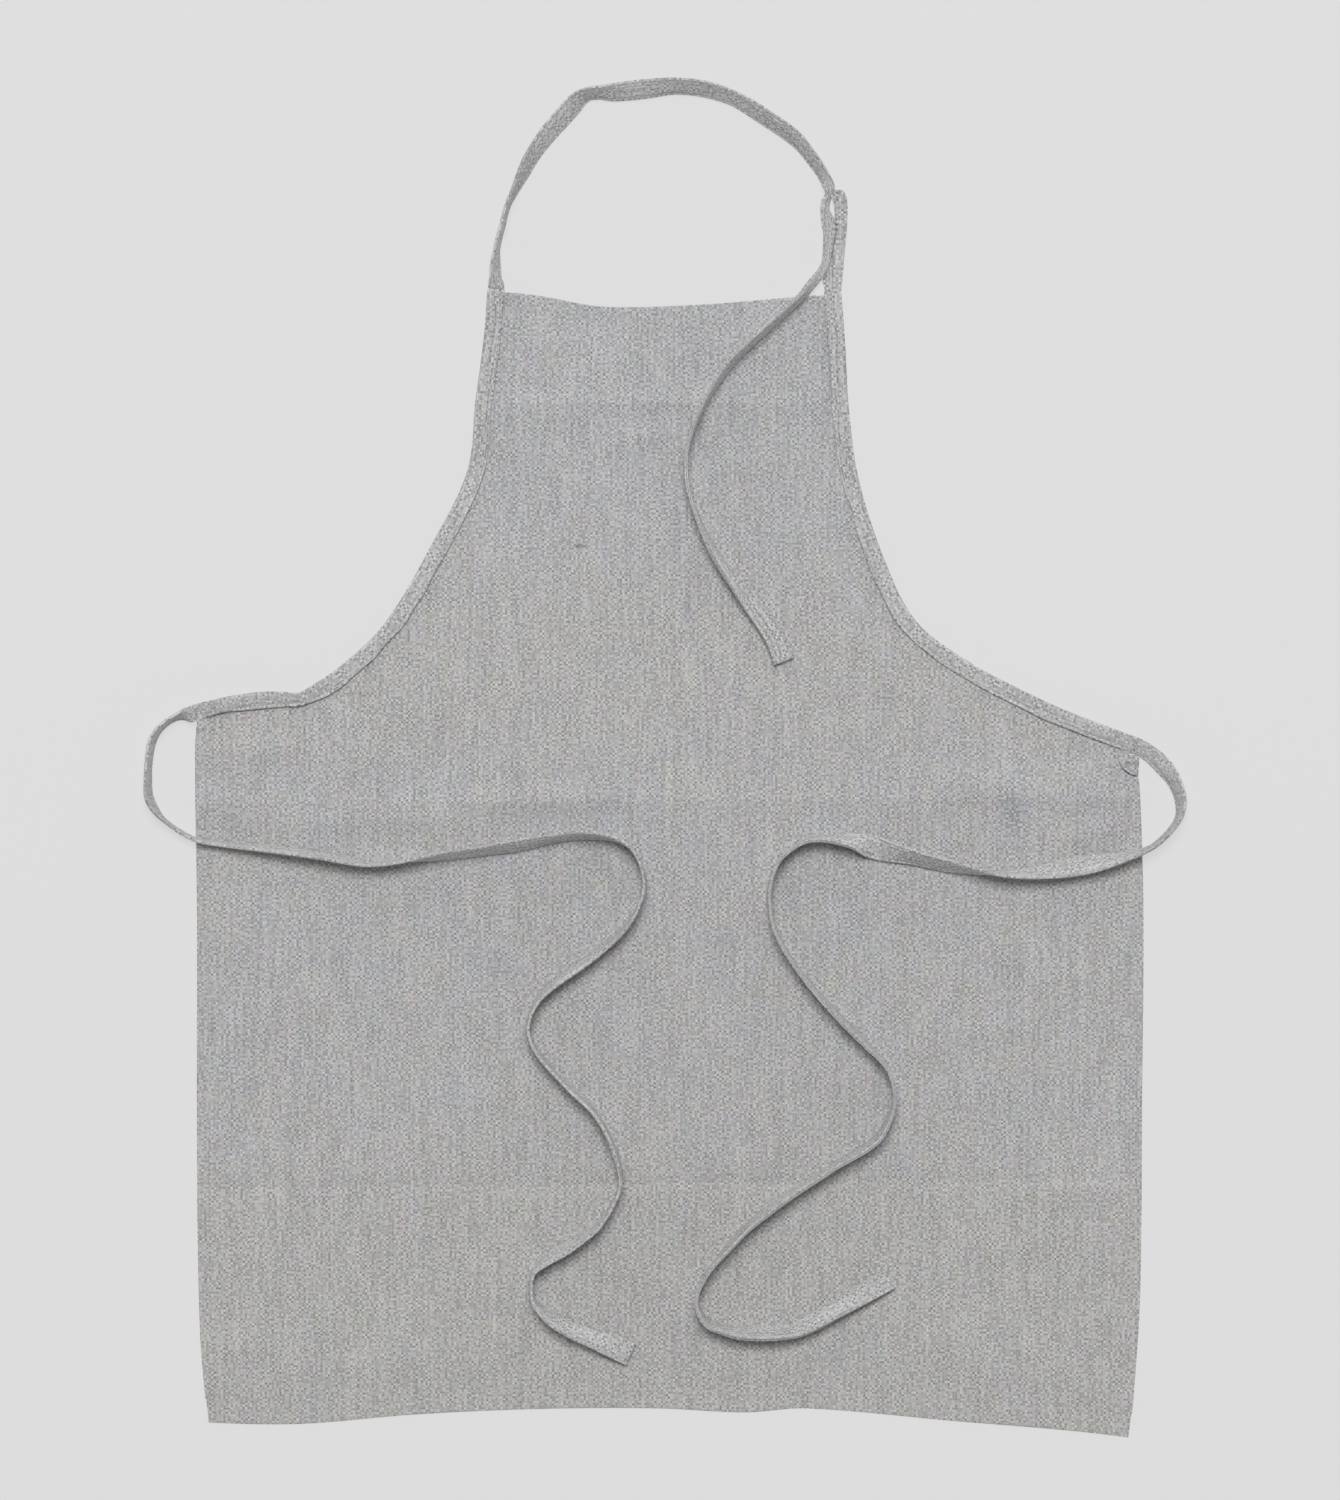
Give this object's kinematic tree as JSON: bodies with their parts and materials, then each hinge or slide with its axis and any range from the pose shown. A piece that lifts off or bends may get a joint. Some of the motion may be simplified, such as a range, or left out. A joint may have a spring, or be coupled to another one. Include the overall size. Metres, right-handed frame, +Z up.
{
  "type": "bib apron",
  "caption": "Plain grey cloth bib apron lying face up, with tape-bound armholes, loose waist ties and a neck strap drawn through a slit keeper.",
  "frame": {"origin": "middle of the whole outline seen from above, on the surface that the apron lies on", "axes": "+Y from the bottom hem towards the neck, +Z up out of the apron's front, +X to the right of someone who looks at the front with the neck at the top"},
  "size_m": [0.7708, 1.006, 0.0215],
  "materials": {
    "body_cloth": "matt plain weave, heathered grey",
    "tape_cloth": "matt folded tape of the same grey cloth, edge-stitched"
  },
  "bodies": {
    "root": {"body_panel": "body_cloth", "left_binding": "tape_cloth", "right_binding": "tape_cloth", "neck_strap": "tape_cloth", "strap_keeper": "tape_cloth", "left_tie": "tape_cloth", "right_tie": "tape_cloth"}
  },
  "joints": []
}
